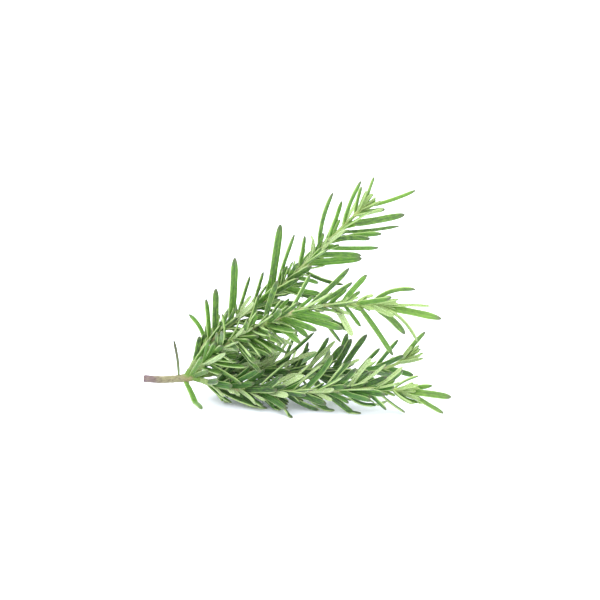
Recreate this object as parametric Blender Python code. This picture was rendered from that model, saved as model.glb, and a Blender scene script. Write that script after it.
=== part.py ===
"""A cut rosemary sprig lying on a table: a bare woody stem that forks into four leafy shoots.

One shoot rises, one arches over to the right, and two lie along the table and carry the sprig.
Each leafy shoot is one solid, its needles fused to their stem, and so is the young tip that
ends it. +X runs from the cut end to the tips, +Y away from the viewer and +Z up. The table is
at z = 0, and the origin is under the middle of the sprig. Every size below is in millimetres.
"""

import math
import random
from collections import namedtuple

import bmesh
import bpy
import numpy as np
from mathutils import Matrix, Vector

MM = 0.001
UP = Vector((0, 0, 1))
MIDDLE = Vector((-1.438, 0.817, 0))

# Woody stem
WOODY_ROUTE = [(-68.7, 0, 9.3), (-62, -0.3, 8.9), (-56, 0, 9.0), (-51, 0.3, 9.4), (-46.5, 0.6, 9.9)]
WOODY_DIAMETER = 3.3
NODE_SWELLING = 1.2
SWELLING_LENGTH = 3.0
STUB_LENGTH = 4.5
STUB_DIAMETER = 2.8
SEAM = 0.3

# Leafy stems and their tips
STEM_STEP = 1.5
RING_STEP = 7.0
TIP_LENGTH = 9.0
YOUNG_PAIRS = 5

# Needles. A section is (across, through), as shares of the half width and of the thickness.
LEAF_THICKNESS = 0.95
LEAF_SECTION = [(-1, -0.25), (0, 0.5), (1, -0.25), (0, -0.5)]
SMALL_SECTION = [(-1, -0.3), (0, 0.6), (1, -0.3)]
LEAF_RINGS = [0, 0.3, 0.68, 0.91, 1]
SMALL_RINGS = [0, 0.68, 1]
ROOT_WIDTH = 0.6
LIT_SHARE = 0.65
TAKEN_REACH = 0.85
SAMPLES = 14

# Room round the needles, and how they lie on the table
SOLID_GAP = 0.38
SAME_SHOOT_SHARE = 0.7
SAME_SHOOT_FROM = 0.3
PRESSED_HEIGHT = 0.45
FLAT_BELOW = 0.3
TRIES = 30

Leaf = namedtuple("Leaf", "station roll spread length width bow twist")
Shoot = namedtuple("Shoot", "name route diameters spacing lengths widest first_roll listed")

# The leaves that stand out in the outline, by shoot. Each is its station along the stem, its
# roll round the stem (0 is the upper side, 90 towards the viewer), its spread from the stem's
# heading, its length and width, how far it bows (above 0 it ascends first and then curls out)
# and its twist about its own midline. The woody stem has a dry leaf first, and then green ones.
WOODY_LEAVES = [
    Leaf(15.7, 2, 91, 18.5, 1.3, 0.03, 70), Leaf(17.7, 143, 75.5, 21.8, 2.6, 0.05, 70),
    Leaf(20.4, 42, 67, 18.5, 2.0, 0.02, -120), Leaf(21, 62, 55, 15, 2.2, 0.03, -140),
    Leaf(18.6, 66, 27, 20, 3.0, 0, -150),
]
RISING_LEAVES = [
    Leaf(17, -12, 66, 16, 2.2, 0.10, -60), Leaf(19.5, 14, 52, 21.4, 2.5, 0.02, -70),
    Leaf(23, -8, 46.5, 21.4, 3.1, 0, -80), Leaf(32, 5, 51, 30.8, 3.6, 0.01, -85),
    Leaf(35.5, -22, 36, 20, 2.1, 0, -40), Leaf(44.5, 12, 44, 17.5, 2.2, 0, -60),
    Leaf(54, -6, 45, 32, 3.6, -0.01, -85), Leaf(57.5, 16, 38.3, 27.7, 2.6, -0.02, -65),
    Leaf(71, -10, 39, 15.5, 2.1, 0, -60), Leaf(83, 8, 34, 27.5, 2.6, -0.06, -70),
    Leaf(89, -18, 26, 19, 2.2, 0, -60), Leaf(98.5, 10, 27, 22, 2.4, -0.05, -70),
    Leaf(111.5, 0, 28, 13.6, 2.1, -0.02, -50), Leaf(111, 168, 27, 24.3, 2.0, -0.04, 110),
    Leaf(100, 172, 35.8, 26.7, 3.3, -0.02, 95), Leaf(95, 190, 42.9, 29.5, 1.7, -0.02, 60),
    Leaf(88, 168, 36, 25, 2.6, 0.04, 110), Leaf(85.5, 190, 49.9, 27.1, 2.1, -0.02, 60),
    Leaf(75, 172, 39.3, 25.2, 3.4, 0.01, 90), Leaf(72, 160, 64, 20, 2.1, -0.07, 120),
    Leaf(66, 200, 60, 15, 2.1, 0.03, 60), Leaf(60, 150, 50, 18, 2.5, -0.03, 90),
    Leaf(49, 175, 40, 19, 2.6, 0, 90), Leaf(78, -25, 38, 9, 1.9, 0, -40),
    Leaf(106.3, 140, 36.6, 13.3, 2.3, 0, 90), Leaf(90, 150, 46, 18.8, 2.4, 0.03, 100),
    Leaf(7.2, 84, 22, 16, 2.4, 0.02, -150), Leaf(7, 45, 26, 16, 2.4, 0.03, -120),
    Leaf(8.5, -5, 12, 13.5, 2.3, 0, -60),
]
ARCHING_LEAVES = [
    Leaf(62.5, -10, 29.7, 26, 2.6, 0.02, -70), Leaf(66.5, 12, 27, 20, 2.5, 0, -80),
    Leaf(91, 25, 31.7, 20.9, 2.7, -0.16, -85), Leaf(93.5, 110, 5, 29.5, 3.5, 0.02, 125),
    Leaf(94.5, 165, 33, 23.6, 2.4, 0.11, -20), Leaf(90.7, 200, 37.4, 23.4, 3.2, 0.05, 50),
    Leaf(85, 178, 54.6, 28.9, 2.7, 0.01, 60), Leaf(79, 190, 56, 13.7, 1.9, 0, 60),
    Leaf(75, 150, 66, 16, 2.9, 0.02, -80), Leaf(54, 165, 34.9, 25.1, 3.4, 0.02, 100),
    Leaf(66, 190, 64.6, 21.4, 1.9, 0, 40), Leaf(44.7, 150, 55.4, 18.4, 2.9, 0.04, 60),
    Leaf(95.5, 20, 10.6, 22.1, 1.4, -0.02, 20), Leaf(72, -15, 35, 11, 2.2, 0, -60),
    Leaf(7, 120, 30, 15, 2.5, 0.02, 150), Leaf(7, 70, 24, 17, 2.6, 0.04, -140),
    Leaf(57.5, 140, 30.5, 18, 3.0, 0.02, 120), Leaf(60.5, 172, 38.9, 23.8, 2.6, 0.02, 80),
    Leaf(49.2, 145, 39.1, 19.6, 3.0, 0.02, 110), Leaf(51.7, 178, 63, 14.5, 2.7, 0.02, 90),
]
REAR_LEAVES = [
    Leaf(35.2, 12, 48.1, 27.6, 2.8, 0, -60), Leaf(51.7, -6, 60, 18.8, 2.6, 0.03, -70),
    Leaf(63.5, 10, 65.9, 18.9, 3.3, 0.02, -75), Leaf(67.2, -4, 55, 21.3, 3.1, -0.02, -80),
    Leaf(75.5, 10, 48, 15, 2.5, 0, -70), Leaf(82.7, -12, 42.5, 17.7, 2.4, 0, -60),
    Leaf(95.4, 4, 21.6, 18.3, 2.7, -0.02, -70), Leaf(73, 60, 28, 16, 3.0, 0, 150),
    Leaf(46, 8, 70, 16, 2.4, 0.05, -60), Leaf(26, -4, 60, 20, 2.7, 0.04, -70),
    Leaf(33, 30, 50, 19, 2.6, 0, -40), Leaf(59, 30, 67.6, 19.9, 3.4, 0, -90),
    Leaf(65.5, -14, 74.5, 18.4, 3.1, 0, -80), Leaf(7, 60, 17, 17, 3.0, 0, -150),
    Leaf(88, 160, 28, 13.5, 2.7, 0, 100),
]
FRONT_LEAVES = [
    Leaf(8, 150, 6.7, 27.5, 3.2, -0.03, 40), Leaf(43, 165, 26, 18, 2.5, -0.05, 120),
    Leaf(46, 130, 20, 18, 3.1, 0.02, 130), Leaf(70, 160, 19.3, 19.6, 2.6, -0.2, 30),
    Leaf(72, 100, 26, 18, 2.8, 0.02, 150), Leaf(92.2, 165, 17, 14.5, 2.2, -0.14, 40),
    Leaf(97, 150, 27.1, 19.6, 2.7, 0, 60), Leaf(96, 80, 22.6, 22.2, 3.3, 0, 150),
    Leaf(92.2, -20, 10.9, 16.4, 2.5, 0, -60), Leaf(24, 60, 24, 20, 3.1, 0, 170),
    Leaf(57, 40, 40, 19, 2.6, 0.02, 140), Leaf(31, 110, 34, 19, 2.8, 0.02, 130),
    Leaf(7, 50, 24, 17, 3.1, 0, -150), Leaf(6.4, -50, 26, 14, 2.5, 0.03, -60),
    Leaf(78, 95, 50, 19.5, 2.8, 0.02, 170),
]

SHOOTS = [
    Shoot("rising_shoot",
          [(-50, 0.3, 9.6), (-40.5, 3, 24.5), (-28, 6, 34.7), (-11.7, 9, 45.8),
           (2.6, 12, 57.8), (16.9, 15, 71.8), (30.5, 17.5, 85)],
          (2.6, 1.6), 5.5, (16, 21, 19), 2.85, 80, RISING_LEAVES),
    Shoot("arching_shoot",
          [(-47, 0.5, 9.9), (-33.7, -2, 24.7), (-15.6, -4.5, 35.8), (1.1, -6, 42.9),
           (14.3, -6, 45.2), (29.3, -5, 45.4), (38.5, -4, 43.9)],
          (2.5, 1.4), 5.8, (14, 20, 18), 2.75, 70, ARCHING_LEAVES),
    Shoot("rear_shoot",
          [(-46.5, 0.6, 9.9), (-29.7, 6, 10.6), (-3.3, 10, 9.2), (23.1, 13, 8.0),
           (40.7, 15, 9.6), (48.6, 15.5, 13.1), (52, 15.5, 15.6)],
          (2.5, 1.5), 5.5, (16, 20, 17), 2.85, 60, REAR_LEAVES),
    Shoot("front_shoot",
          [(-47, 0.5, 9.7), (-32, -6, 7.4), (-12.1, -11, 7.0), (9.9, -15, 8.6),
           (29.7, -17, 10.6), (48.5, -18.5, 10)],
          (2.5, 1.5), 5.5, (16, 20, 18), 2.85, 75, FRONT_LEAVES),
]


def smooth_line(points, step):
    """Points about one step apart on a smooth curve through these points."""
    points = [Vector(p) - MIDDLE for p in points]
    knots = [2 * points[0] - points[1], *points, 2 * points[-1] - points[-2]]
    line = []
    for a, b, c, d in zip(knots, knots[1:], knots[2:], knots[3:]):
        count = max(1, round((c - b).length / step))
        for i in range(count):
            t = i / count
            line.append(b + (c - a) * t / 2 + (2 * a - 5 * b + 4 * c - d) * t**2 / 2
                        + (3 * b - a - 3 * c + d) * t**3 / 2)
    return [*line, points[-1]]


class Stem:
    """A stem's axis, with places on it given by their distance from its root."""

    def __init__(self, route, diameters):
        self.line = smooth_line(route, STEM_STEP)
        self.reach = [0.0]
        for a, b in zip(self.line, self.line[1:]):
            self.reach.append(self.reach[-1] + (b - a).length)
        self.length = self.reach[-1]
        self.diameters = diameters

    def at(self, station):
        """The point on the axis and the way it heads there."""
        i = int(np.searchsorted(self.reach, station)) - 1
        i = min(max(i, 0), len(self.line) - 2)
        share = (station - self.reach[i]) / (self.reach[i + 1] - self.reach[i])
        before = self.line[max(i - 1, 0)]
        after = self.line[min(i + 2, len(self.line) - 1)]
        return self.line[i].lerp(self.line[i + 1], share), (after - before).normalized()

    def radius(self, station):
        first, last = self.diameters
        return (first + (last - first) * station / self.length) / 2


def blade_width(t):
    """A needle's width at this share of its length, as a share of its full width."""
    root = min(1, ROOT_WIDTH + 1.6 * t)
    tip = math.sqrt(max(0, 1 - max(0, (t - 0.76) / 0.24) ** 2))
    return root * tip


def press_on_table(line):
    """The same line, bent along the table from where it would go below it."""
    pressed = [line[0]]
    for a, b in zip(line, line[1:]):
        step = b - a
        end = pressed[-1] + step
        if end.z < PRESSED_HEIGHT:
            drop = PRESSED_HEIGHT - pressed[-1].z
            level = Vector((step.x, step.y, 0))
            run = math.sqrt(max(0, step.length_squared - drop**2))
            end = pressed[-1] + level.normalized() * run + UP * drop
        pressed.append(end)
    return pressed


def leaf_line(stem, leaf):
    """A needle's midline from the stem's axis to its tip, and its upper face's way at each point."""
    root, along = stem.at(leaf.station)
    above = (UP - along * along.dot(UP)).normalized()
    nearer = along.cross(above)
    roll, spread = math.radians(leaf.roll), math.radians(leaf.spread)
    out = above * math.cos(roll) + nearer * math.sin(roll)
    heading = along * math.cos(spread) + out * math.sin(spread)
    across = along * math.sin(spread) - out * math.cos(spread)
    knee = root + (heading / 2 + across * 2 * leaf.bow) * leaf.length
    tip = root + heading * leaf.length
    line = []
    for i in range(SAMPLES + 1):
        t = i / SAMPLES
        line.append(root * (1 - t) ** 2 + knee * 2 * t * (1 - t) + tip * t**2)
    line = press_on_table(line)
    faces = []
    for i, point in enumerate(line):
        ahead = (line[min(i + 1, SAMPLES)] - line[max(i - 1, 0)]).normalized()
        face = (along - ahead * ahead.dot(along)).normalized()
        face = Matrix.Rotation(math.radians(leaf.twist), 3, ahead) @ face
        if point.z < 2 * PRESSED_HEIGHT:
            face = UP if face.z > 0 else -UP
        faces.append(face)
    return line, faces


def at_share(values, t):
    """The value at this share of an evenly spaced list."""
    place = t * (len(values) - 1)
    i = min(int(place), len(values) - 2)
    return values[i].lerp(values[i + 1], place - i)


class Room:
    """The space that stems and needles already fill, by solid."""

    def __init__(self):
        self.points, self.radii, self.shares, self.owners = [], [], [], []

    def add(self, owner, line, radii, shares):
        self.points += [tuple(p) for p in line]
        self.radii += radii
        self.shares += shares
        self.owners += [owner] * len(line)

    def clear_of(self, owner, line, radii, shares):
        """Is this line clear of the other solids, and of its own one's needles save near their roots?"""
        gaps = np.linalg.norm(np.array(line)[:, None] - np.array(self.points)[None], axis=2)
        reach = np.array(radii)[:, None] + np.array(self.radii)[None]
        other = (np.array(self.owners) != owner)[None]
        if (other & (gaps < reach + SOLID_GAP)).any():
            return False
        outer = (np.array(shares)[:, None] > SAME_SHOOT_FROM) & (np.array(self.shares) > SAME_SHOOT_FROM)
        return not (~other & outer & (gaps < reach * SAME_SHOOT_SHARE)).any()


def place(room, owner, stem, leaf, draw):
    """The first of a few turns of this needle that has room, as (leaf, line, faces), or None."""
    shares = [i / SAMPLES for i in range(SAMPLES + 1)]
    for turn in range(TRIES):
        swing = draw.uniform(-1, 1) * turn
        lift = draw.uniform(-1, 1) * turn
        tried = leaf._replace(roll=leaf.roll + 2.2 * swing, spread=leaf.spread + 0.9 * lift,
                              length=leaf.length * (1 - 0.012 * turn))
        line, faces = leaf_line(stem, tried)
        radii = [max(tried.width / 2 * blade_width(t), 0.3) for t in shares]
        if room.clear_of(owner, line, radii, shares):
            room.add(owner, line, radii, shares)
            return tried, line, faces
    return None


def length_at(shoot, share):
    """A rule leaf's length at this share of the stem, from the shoot's three lengths."""
    return float(np.interp(share, (0, 0.5, 1), shoot.lengths))


def lit_twist(roll, draw, spare):
    """A twist that brings most of a needle's upper face round to the light in front of the sprig."""
    to_light = (90 - roll) % 360 - 180
    return LIT_SHARE * to_light + draw.uniform(-spare, spare)


def opposite_pairs(shoot, stem, draw):
    """Crossed pairs along the stem, each leaf with a small one in its axil."""
    leaves, small = [], []
    station, pair = STUB_LENGTH + 3, 0
    while station < stem.length - TIP_LENGTH - 2:
        share = station / stem.length
        for side in (0, 180):
            roll = shoot.first_roll + 90 * pair + side + draw.uniform(-14, 14)
            taken = any(abs(listed.station - station) < TAKEN_REACH * shoot.spacing
                        and math.cos(math.radians(listed.roll - roll)) > 0.6 for listed in shoot.listed)
            leaf = Leaf(station + draw.uniform(-0.5, 0.5), roll, draw.uniform(42, 58) - 12 * share,
                        length_at(shoot, share) * draw.uniform(0.85, 1.12),
                        shoot.widest * draw.uniform(0.85, 1.1), draw.uniform(-0.04, 0.05),
                        lit_twist(roll, draw, 95))
            if not taken:
                leaves.append(leaf)
            small.append(leaf._replace(
                station=station + 1.2, roll=roll + draw.uniform(-28, 28), spread=draw.uniform(22, 42),
                length=draw.uniform(8, 14) * (1.2 - 0.5 * share), width=draw.uniform(1.5, 2.0),
                twist=lit_twist(roll, draw, 80)))
        station += shoot.spacing * (0.8 + 0.3 * share) * draw.uniform(0.92, 1.08)
        pair += 1
    return leaves, small


def young_leaves(shoot, stem, draw):
    """The close pairs round a shoot's bud, shorter and more upright towards its end."""
    leaves = []
    for pair in range(YOUNG_PAIRS):
        share = pair / (YOUNG_PAIRS - 1)
        station = stem.length - TIP_LENGTH + 1.8 + (TIP_LENGTH - 3) * share
        for side in (0, 180):
            roll = shoot.first_roll + 45 + 90 * pair + side + draw.uniform(-12, 12)
            length = shoot.lengths[2] * (0.72 - 0.38 * share) * draw.uniform(0.9, 1.1)
            leaves.append(Leaf(station, roll, 36 - 26 * share, length, 2.2 - 0.8 * share,
                               draw.uniform(-0.08, 0), draw.uniform(-25, 25)))
    return leaves


def tip_name(shoot):
    return shoot.name.replace("_shoot", "_tip")


def grow():
    """Every needle of the sprig, {solid: [(leaf, line, faces, is it small)]}, and the stems' axes."""
    draw = random.Random(152)
    room = Room()
    woody = Stem(WOODY_ROUTE, (WOODY_DIAMETER, WOODY_DIAMETER))
    room.add("woody_stem", woody.line, [WOODY_DIAMETER / 2] * len(woody.line), [0] * len(woody.line))
    stems = {"woody_stem": woody}
    for shoot in SHOOTS:
        stem = stems[shoot.name] = Stem(shoot.route, shoot.diameters)
        for station in np.arange(0, stem.length, 1.0):
            owner = solid_at(shoot, stem, station)
            room.add(owner, [stem.at(station)[0]], [stem.radius(station)], [0])
    grown = {name: [] for name in ["woody_stem", *stems, *map(tip_name, SHOOTS)]}

    def keep(name, stem, leaves, small=False):
        for leaf in leaves:
            placed = place(room, name, stem, leaf, draw)
            if placed:
                grown[name].append((*placed, small))

    keep("woody_stem", woody, WOODY_LEAVES)
    for shoot in SHOOTS:
        stem = stems[shoot.name]
        for leaf in shoot.listed:
            keep(solid_at(shoot, stem, leaf.station), stem, [leaf])
    for shoot in SHOOTS:
        keep(tip_name(shoot), stems[shoot.name], young_leaves(shoot, stems[shoot.name], draw))
    axils = {}
    for shoot in SHOOTS:
        leaves, axils[shoot.name] = opposite_pairs(shoot, stems[shoot.name], draw)
        keep(shoot.name, stems[shoot.name], leaves)
    for name, leaves in axils.items():
        keep(name, stems[name], leaves, small=True)
    return stems, grown


def solid_at(shoot, stem, station):
    """The solid that a stem belongs to at this station."""
    if station < STUB_LENGTH:
        return "woody_stem"
    return shoot.name if station < stem.length - TIP_LENGTH else tip_name(shoot)


def plain_material(name, colour, roughness):
    material = bpy.data.materials.new(name)
    material.use_nodes = True
    shader = material.node_tree.nodes["Principled BSDF"]
    shader.inputs["Base Color"].default_value = (*colour, 1)
    shader.inputs["Roughness"].default_value = roughness
    shader.inputs["Metallic"].default_value = 0
    return material


def link(name, mesh, collection):
    obj = bpy.data.objects.new(name, mesh)
    collection.objects.link(obj)
    return obj


def tube(name, points, radii, collection):
    """A closed mesh tube along the points, from a curve with a radius at each point."""
    curve = bpy.data.curves.new(name + "_axis", "CURVE")
    curve.dimensions = "3D"
    curve.bevel_depth = MM
    curve.bevel_resolution = 2
    curve.use_fill_caps = True
    spline = curve.splines.new("POLY")
    spline.points.add(len(points) - 1)
    for curve_point, point, radius in zip(spline.points, points, radii):
        curve_point.co = (*(point * MM), 1)
        curve_point.radius = radius
    guide = link(name + "_axis", curve, collection)
    bpy.context.view_layer.update()
    evaluated = guide.evaluated_get(bpy.context.evaluated_depsgraph_get())
    mesh = bpy.data.meshes.new_from_object(evaluated)
    bpy.data.objects.remove(guide)
    welded = bmesh.new()
    welded.from_mesh(mesh)
    bmesh.ops.remove_doubles(welded, verts=welded.verts, dist=1e-6)
    welded.to_mesh(mesh)
    welded.free()
    return link(name, mesh, collection)


def flatten(point, limit):
    """The point, set down on the table if it is no higher than the limit."""
    return Vector((point.x, point.y, 0)) if point.z < limit + 1e-6 else point


def blade(name, leaf, line, faces, small, collection):
    """A needle's solid: its section lofted along the midline, blunt at the tip and flat on the table."""
    section = SMALL_SECTION if small else LEAF_SECTION
    shape = bmesh.new()
    rings = []
    for t in (SMALL_RINGS if small else LEAF_RINGS)[:-1]:
        ahead = (at_share(line, min(t + 0.04, 1)) - at_share(line, max(t - 0.04, 0))).normalized()
        side = ahead.cross(at_share(faces, t)).normalized()
        face = side.cross(ahead)
        half = leaf.width / 2 * blade_width(t)
        thick = LEAF_THICKNESS * (0.6 + 0.4 * blade_width(t))
        ring = []
        for across, through in section:
            corner = at_share(line, t) + side * across * half + face * through * thick
            ring.append(shape.verts.new(flatten(corner, FLAT_BELOW) * MM))
        rings.append(ring)
    tip = shape.verts.new(flatten(line[-1], PRESSED_HEIGHT) * MM)
    count = len(section)
    for i in range(count):
        j = (i + 1) % count
        for first, second in zip(rings, rings[1:]):
            shape.faces.new((first[i], first[j], second[j], second[i]))
        shape.faces.new((rings[-1][i], rings[-1][j], tip))
    shape.faces.new(reversed(rings[0]))
    bmesh.ops.recalc_face_normals(shape, faces=shape.faces)
    mesh = bpy.data.meshes.new(name)
    shape.to_mesh(mesh)
    shape.free()
    return link(name, mesh, collection)


def fuse(obj, pieces, material):
    """One solid of the object and every piece of a collection, which is then removed."""
    union = obj.modifiers.new("union", "BOOLEAN")
    union.operation = "UNION"
    union.operand_type = "COLLECTION"
    union.collection = pieces
    union.solver = "MANIFOLD"
    bpy.context.view_layer.update()
    evaluated = obj.evaluated_get(bpy.context.evaluated_depsgraph_get())
    mesh = bpy.data.meshes.new_from_object(evaluated)
    obj.modifiers.clear()
    obj.data = mesh
    obj.data.materials.clear()
    obj.data.materials.append(material)
    for piece in list(pieces.objects):
        bpy.data.objects.remove(piece)
    bpy.data.collections.remove(pieces)


def helper_collection(name):
    collection = bpy.data.collections.new(name)
    bpy.context.scene.collection.children.link(collection)
    return collection


def leafy_solid(name, stem, start, end, needles, material, collection):
    """A stretch of a shoot's stem, from one station to another, with its needles."""
    stations = np.linspace(start, end, round((end - start) / RING_STEP) + 2)
    obj = tube(name, [stem.at(s)[0] for s in stations], [stem.radius(s) for s in stations], collection)
    pieces = helper_collection(name + "_needles")
    for i, (leaf, line, faces, small) in enumerate(needles):
        blade(f"{name}_{i}", leaf, line, faces, small, pieces)
    fuse(obj, pieces, material)


def woody_solid(stems, needles, material, collection):
    """The bare cut stem with its swollen node, its two leaves, and the stubs that the shoots stand on."""
    axis = stems["woody_stem"]
    stations = np.linspace(0, axis.length, 14)
    fork = axis.length - SWELLING_LENGTH
    radii = []
    for station in stations:
        swell = math.exp(-(((station - fork) / SWELLING_LENGTH) ** 2))
        radii.append(WOODY_DIAMETER / 2 * (1 + (NODE_SWELLING - 1) * swell))
    radii[-1] *= 0.7
    obj = tube("woody_stem", [axis.at(s)[0] for s in stations], radii, collection)
    pieces = helper_collection("woody_stem_pieces")
    for shoot in SHOOTS:
        stem = stems[shoot.name]
        places = np.linspace(0, STUB_LENGTH - SEAM, 3)
        tube(shoot.name + "_stub", [stem.at(s)[0] for s in places], [STUB_DIAMETER / 2] * 3, pieces)
    for i, (leaf, line, faces, small) in enumerate(needles):
        blade(f"woody_stem_{i}", leaf, line, faces, small, pieces)
    fuse(obj, pieces, material)


def main():
    for old in list(bpy.data.objects):
        bpy.data.objects.remove(old)
    sprig = bpy.data.collections.new("rosemary_sprig")
    bpy.context.scene.collection.children.link(sprig)
    bark = plain_material("bark", (0.30, 0.17, 0.15), 0.8)
    green = plain_material("needle_green", (0.12, 0.26, 0.05), 0.5)
    young = plain_material("young_green", (0.30, 0.45, 0.08), 0.5)
    stems, grown = grow()
    woody_solid(stems, grown["woody_stem"], bark, sprig)
    for shoot in SHOOTS:
        stem = stems[shoot.name]
        end, tip = stem.length - TIP_LENGTH, tip_name(shoot)
        leafy_solid(shoot.name, stem, STUB_LENGTH, end, grown[shoot.name], green, sprig)
        leafy_solid(tip, stem, end + SEAM, stem.length, grown[tip], young, sprig)


main()
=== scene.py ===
"""The looks of a cut rosemary sprig on a white table, seen from low down in soft studio light.

The sprig grows here by the same rule as its solids: the same stems, pairs of needles and young
tips, in the same places. The needles now have a groove, rolled margins, a felted channel and a
midrib, and small crowded leaves fill the axils. Routes and leaf sizes are in millimetres, and
the meshes are in metres.
"""

import math
import random
from collections import namedtuple

import bpy
import numpy as np
from mathutils import Matrix, Vector, noise


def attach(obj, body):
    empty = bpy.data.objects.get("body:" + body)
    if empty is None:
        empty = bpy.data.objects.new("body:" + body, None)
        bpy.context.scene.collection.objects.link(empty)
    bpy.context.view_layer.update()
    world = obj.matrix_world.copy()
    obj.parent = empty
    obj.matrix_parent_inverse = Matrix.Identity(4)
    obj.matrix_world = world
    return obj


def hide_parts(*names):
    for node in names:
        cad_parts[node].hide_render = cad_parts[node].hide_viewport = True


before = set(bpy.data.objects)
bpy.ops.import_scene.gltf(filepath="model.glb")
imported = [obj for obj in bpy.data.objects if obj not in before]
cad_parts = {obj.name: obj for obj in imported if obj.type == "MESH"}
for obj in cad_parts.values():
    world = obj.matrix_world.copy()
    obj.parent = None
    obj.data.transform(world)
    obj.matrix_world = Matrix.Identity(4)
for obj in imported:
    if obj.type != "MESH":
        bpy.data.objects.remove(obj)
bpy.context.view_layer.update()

MM = 0.001
UP = Vector((0, 0, 1))
MIDDLE = Vector((-1.438, 0.817, 0))
GROWTH_SEED = 152
TONE_SEED = 11

# Woody stem
WOODY_ROUTE = [(-68.7, 0, 9.3), (-62, -0.3, 8.9), (-56, 0, 9.0), (-51, 0.3, 9.4), (-46.5, 0.6, 9.9)]
WOODY_DIAMETER = 3.3
NODE_SWELLING = 1.2
SWELLING_LENGTH = 3.0
STUB_LENGTH = 4.5
STUB_DIAMETER = 2.8
BARK_GRAIN = 0.2
BARK_SMOOTHING = 4
FISSURE_DEPTH = 0.16
SCAR_STATIONS = [6.4, 12.8]
SCAR_HEIGHT = 0.14
SCAR_LENGTH = 0.5
GREEN_BY = 1.6
CUT_DEPTH = 0.8
WOODY_RINGS = 40
STUB_RINGS = 8
FORK_END = 0.7
STUB_END = 0.92
AXIS_STEP = 0.2

# Leafy stems and their tips
STEM_STEP = 1.5
TIP_LENGTH = 9.0
YOUNG_PAIRS = 5
STEM_RING_STEP = 0.5
STEM_SIDES = 28
RIDGES = 4
RIDGE_HEIGHT = 0.07
JOINT_SWELLING = 0.16
JOINT_LENGTH = 0.9
STEM_OVERLAP = 1.6
RIDGE_TURN = 0.6
END_ROUNDING = 1.2
END_RADIUS = 0.12
FIRST_PAIR = 3
LAST_PAIR = 2
TAKEN_FACING = 0.6

# Needles. A half section runs from the groove down the right side to the midrib. Each point is
# (across, through, felt): shares of the half width and of the thickness, and how felted it is.
LEAF_THICKNESS = 0.95
HALF_SECTION = [
    (0, 0.34, 0), (0.1, 0.44, 0), (0.3, 0.52, 0), (0.6, 0.46, 0), (0.85, 0.26, 0), (1, -0.02, 0),
    (0.97, -0.26, 0.3), (0.82, -0.44, 0.8), (0.64, -0.4, 1), (0.48, -0.2, 1), (0.28, -0.14, 1),
    (0.12, -0.24, 0.9), (0, -0.32, 0.7),
]
SMALL_HALF_SECTION = [
    (0, 0.4, 0), (0.3, 0.5, 0), (0.75, 0.38, 0), (1, -0.04, 0), (0.86, -0.4, 0.8), (0.55, -0.24, 1),
    (0.2, -0.16, 1), (0, -0.28, 0.8),
]
LEAF_RINGS = [0, 0.03, 0.08, 0.15, 0.24, 0.33, 0.42, 0.51, 0.6, 0.68, 0.75, 0.81, 0.86, 0.9,
              0.935, 0.962, 0.982, 0.994]
SMALL_RINGS = [0, 0.08, 0.2, 0.35, 0.5, 0.64, 0.75, 0.84, 0.91, 0.96, 0.99]
ROOT_WIDTH = 0.6
ROOT_FLARE = 1.6
TAPER_FROM = 0.76
TAPER_LENGTH = 0.24
LIT_SHARE = 0.65
TAKEN_REACH = 0.85
SAMPLES = 14
TIP_ROUNDING = 0.1
WAVER = 0.05

# Room round the needles, and how they lie on the table
SOLID_GAP = 0.38
SAME_SHOOT_SHARE = 0.7
SAME_SHOOT_FROM = 0.3
PRESSED_HEIGHT = 0.45
TRIES = 30
NEAR = 4.0
LEAST_RADIUS = 0.3
ROLL_SWING = 2.2
SPREAD_SWING = 0.9
SHORTENING = 0.012

# Further needles that fill each shoot's inner side: how many, and the spans of their stations,
# rolls, spreads and lengths
Fill = namedtuple("Fill", "count stations rolls spreads lengths")
FILLS = {
    "rising_shoot": Fill(34, (6, 62), (70, 240), (25, 62), (11, 21)),
    "arching_shoot": Fill(62, (5.5, 44), (60, 250), (30, 75), (13, 24)),
    "rear_shoot": Fill(58, (5.5, 60), (-90, 95), (30, 68), (12, 23)),
    "front_shoot": Fill(46, (5, 88), (-70, 130), (14, 52), (12, 21)),
}
FILL_WIDTHS = (2.0, 2.9)
FILL_TRIES = 16

# Crowded leaves of the axils, and the bud that ends each shoot
TUFT_STEP = 2.1
TUFT_LEAVES = 2
TUFT_LENGTHS = (18, 14, 7)
TUFT_TRIES = 6
BUD_PAIRS = 3

Leaf = namedtuple("Leaf", "station roll spread length width bow twist")
Shoot = namedtuple("Shoot", "name route diameters spacing lengths widest first_roll listed")

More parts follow.
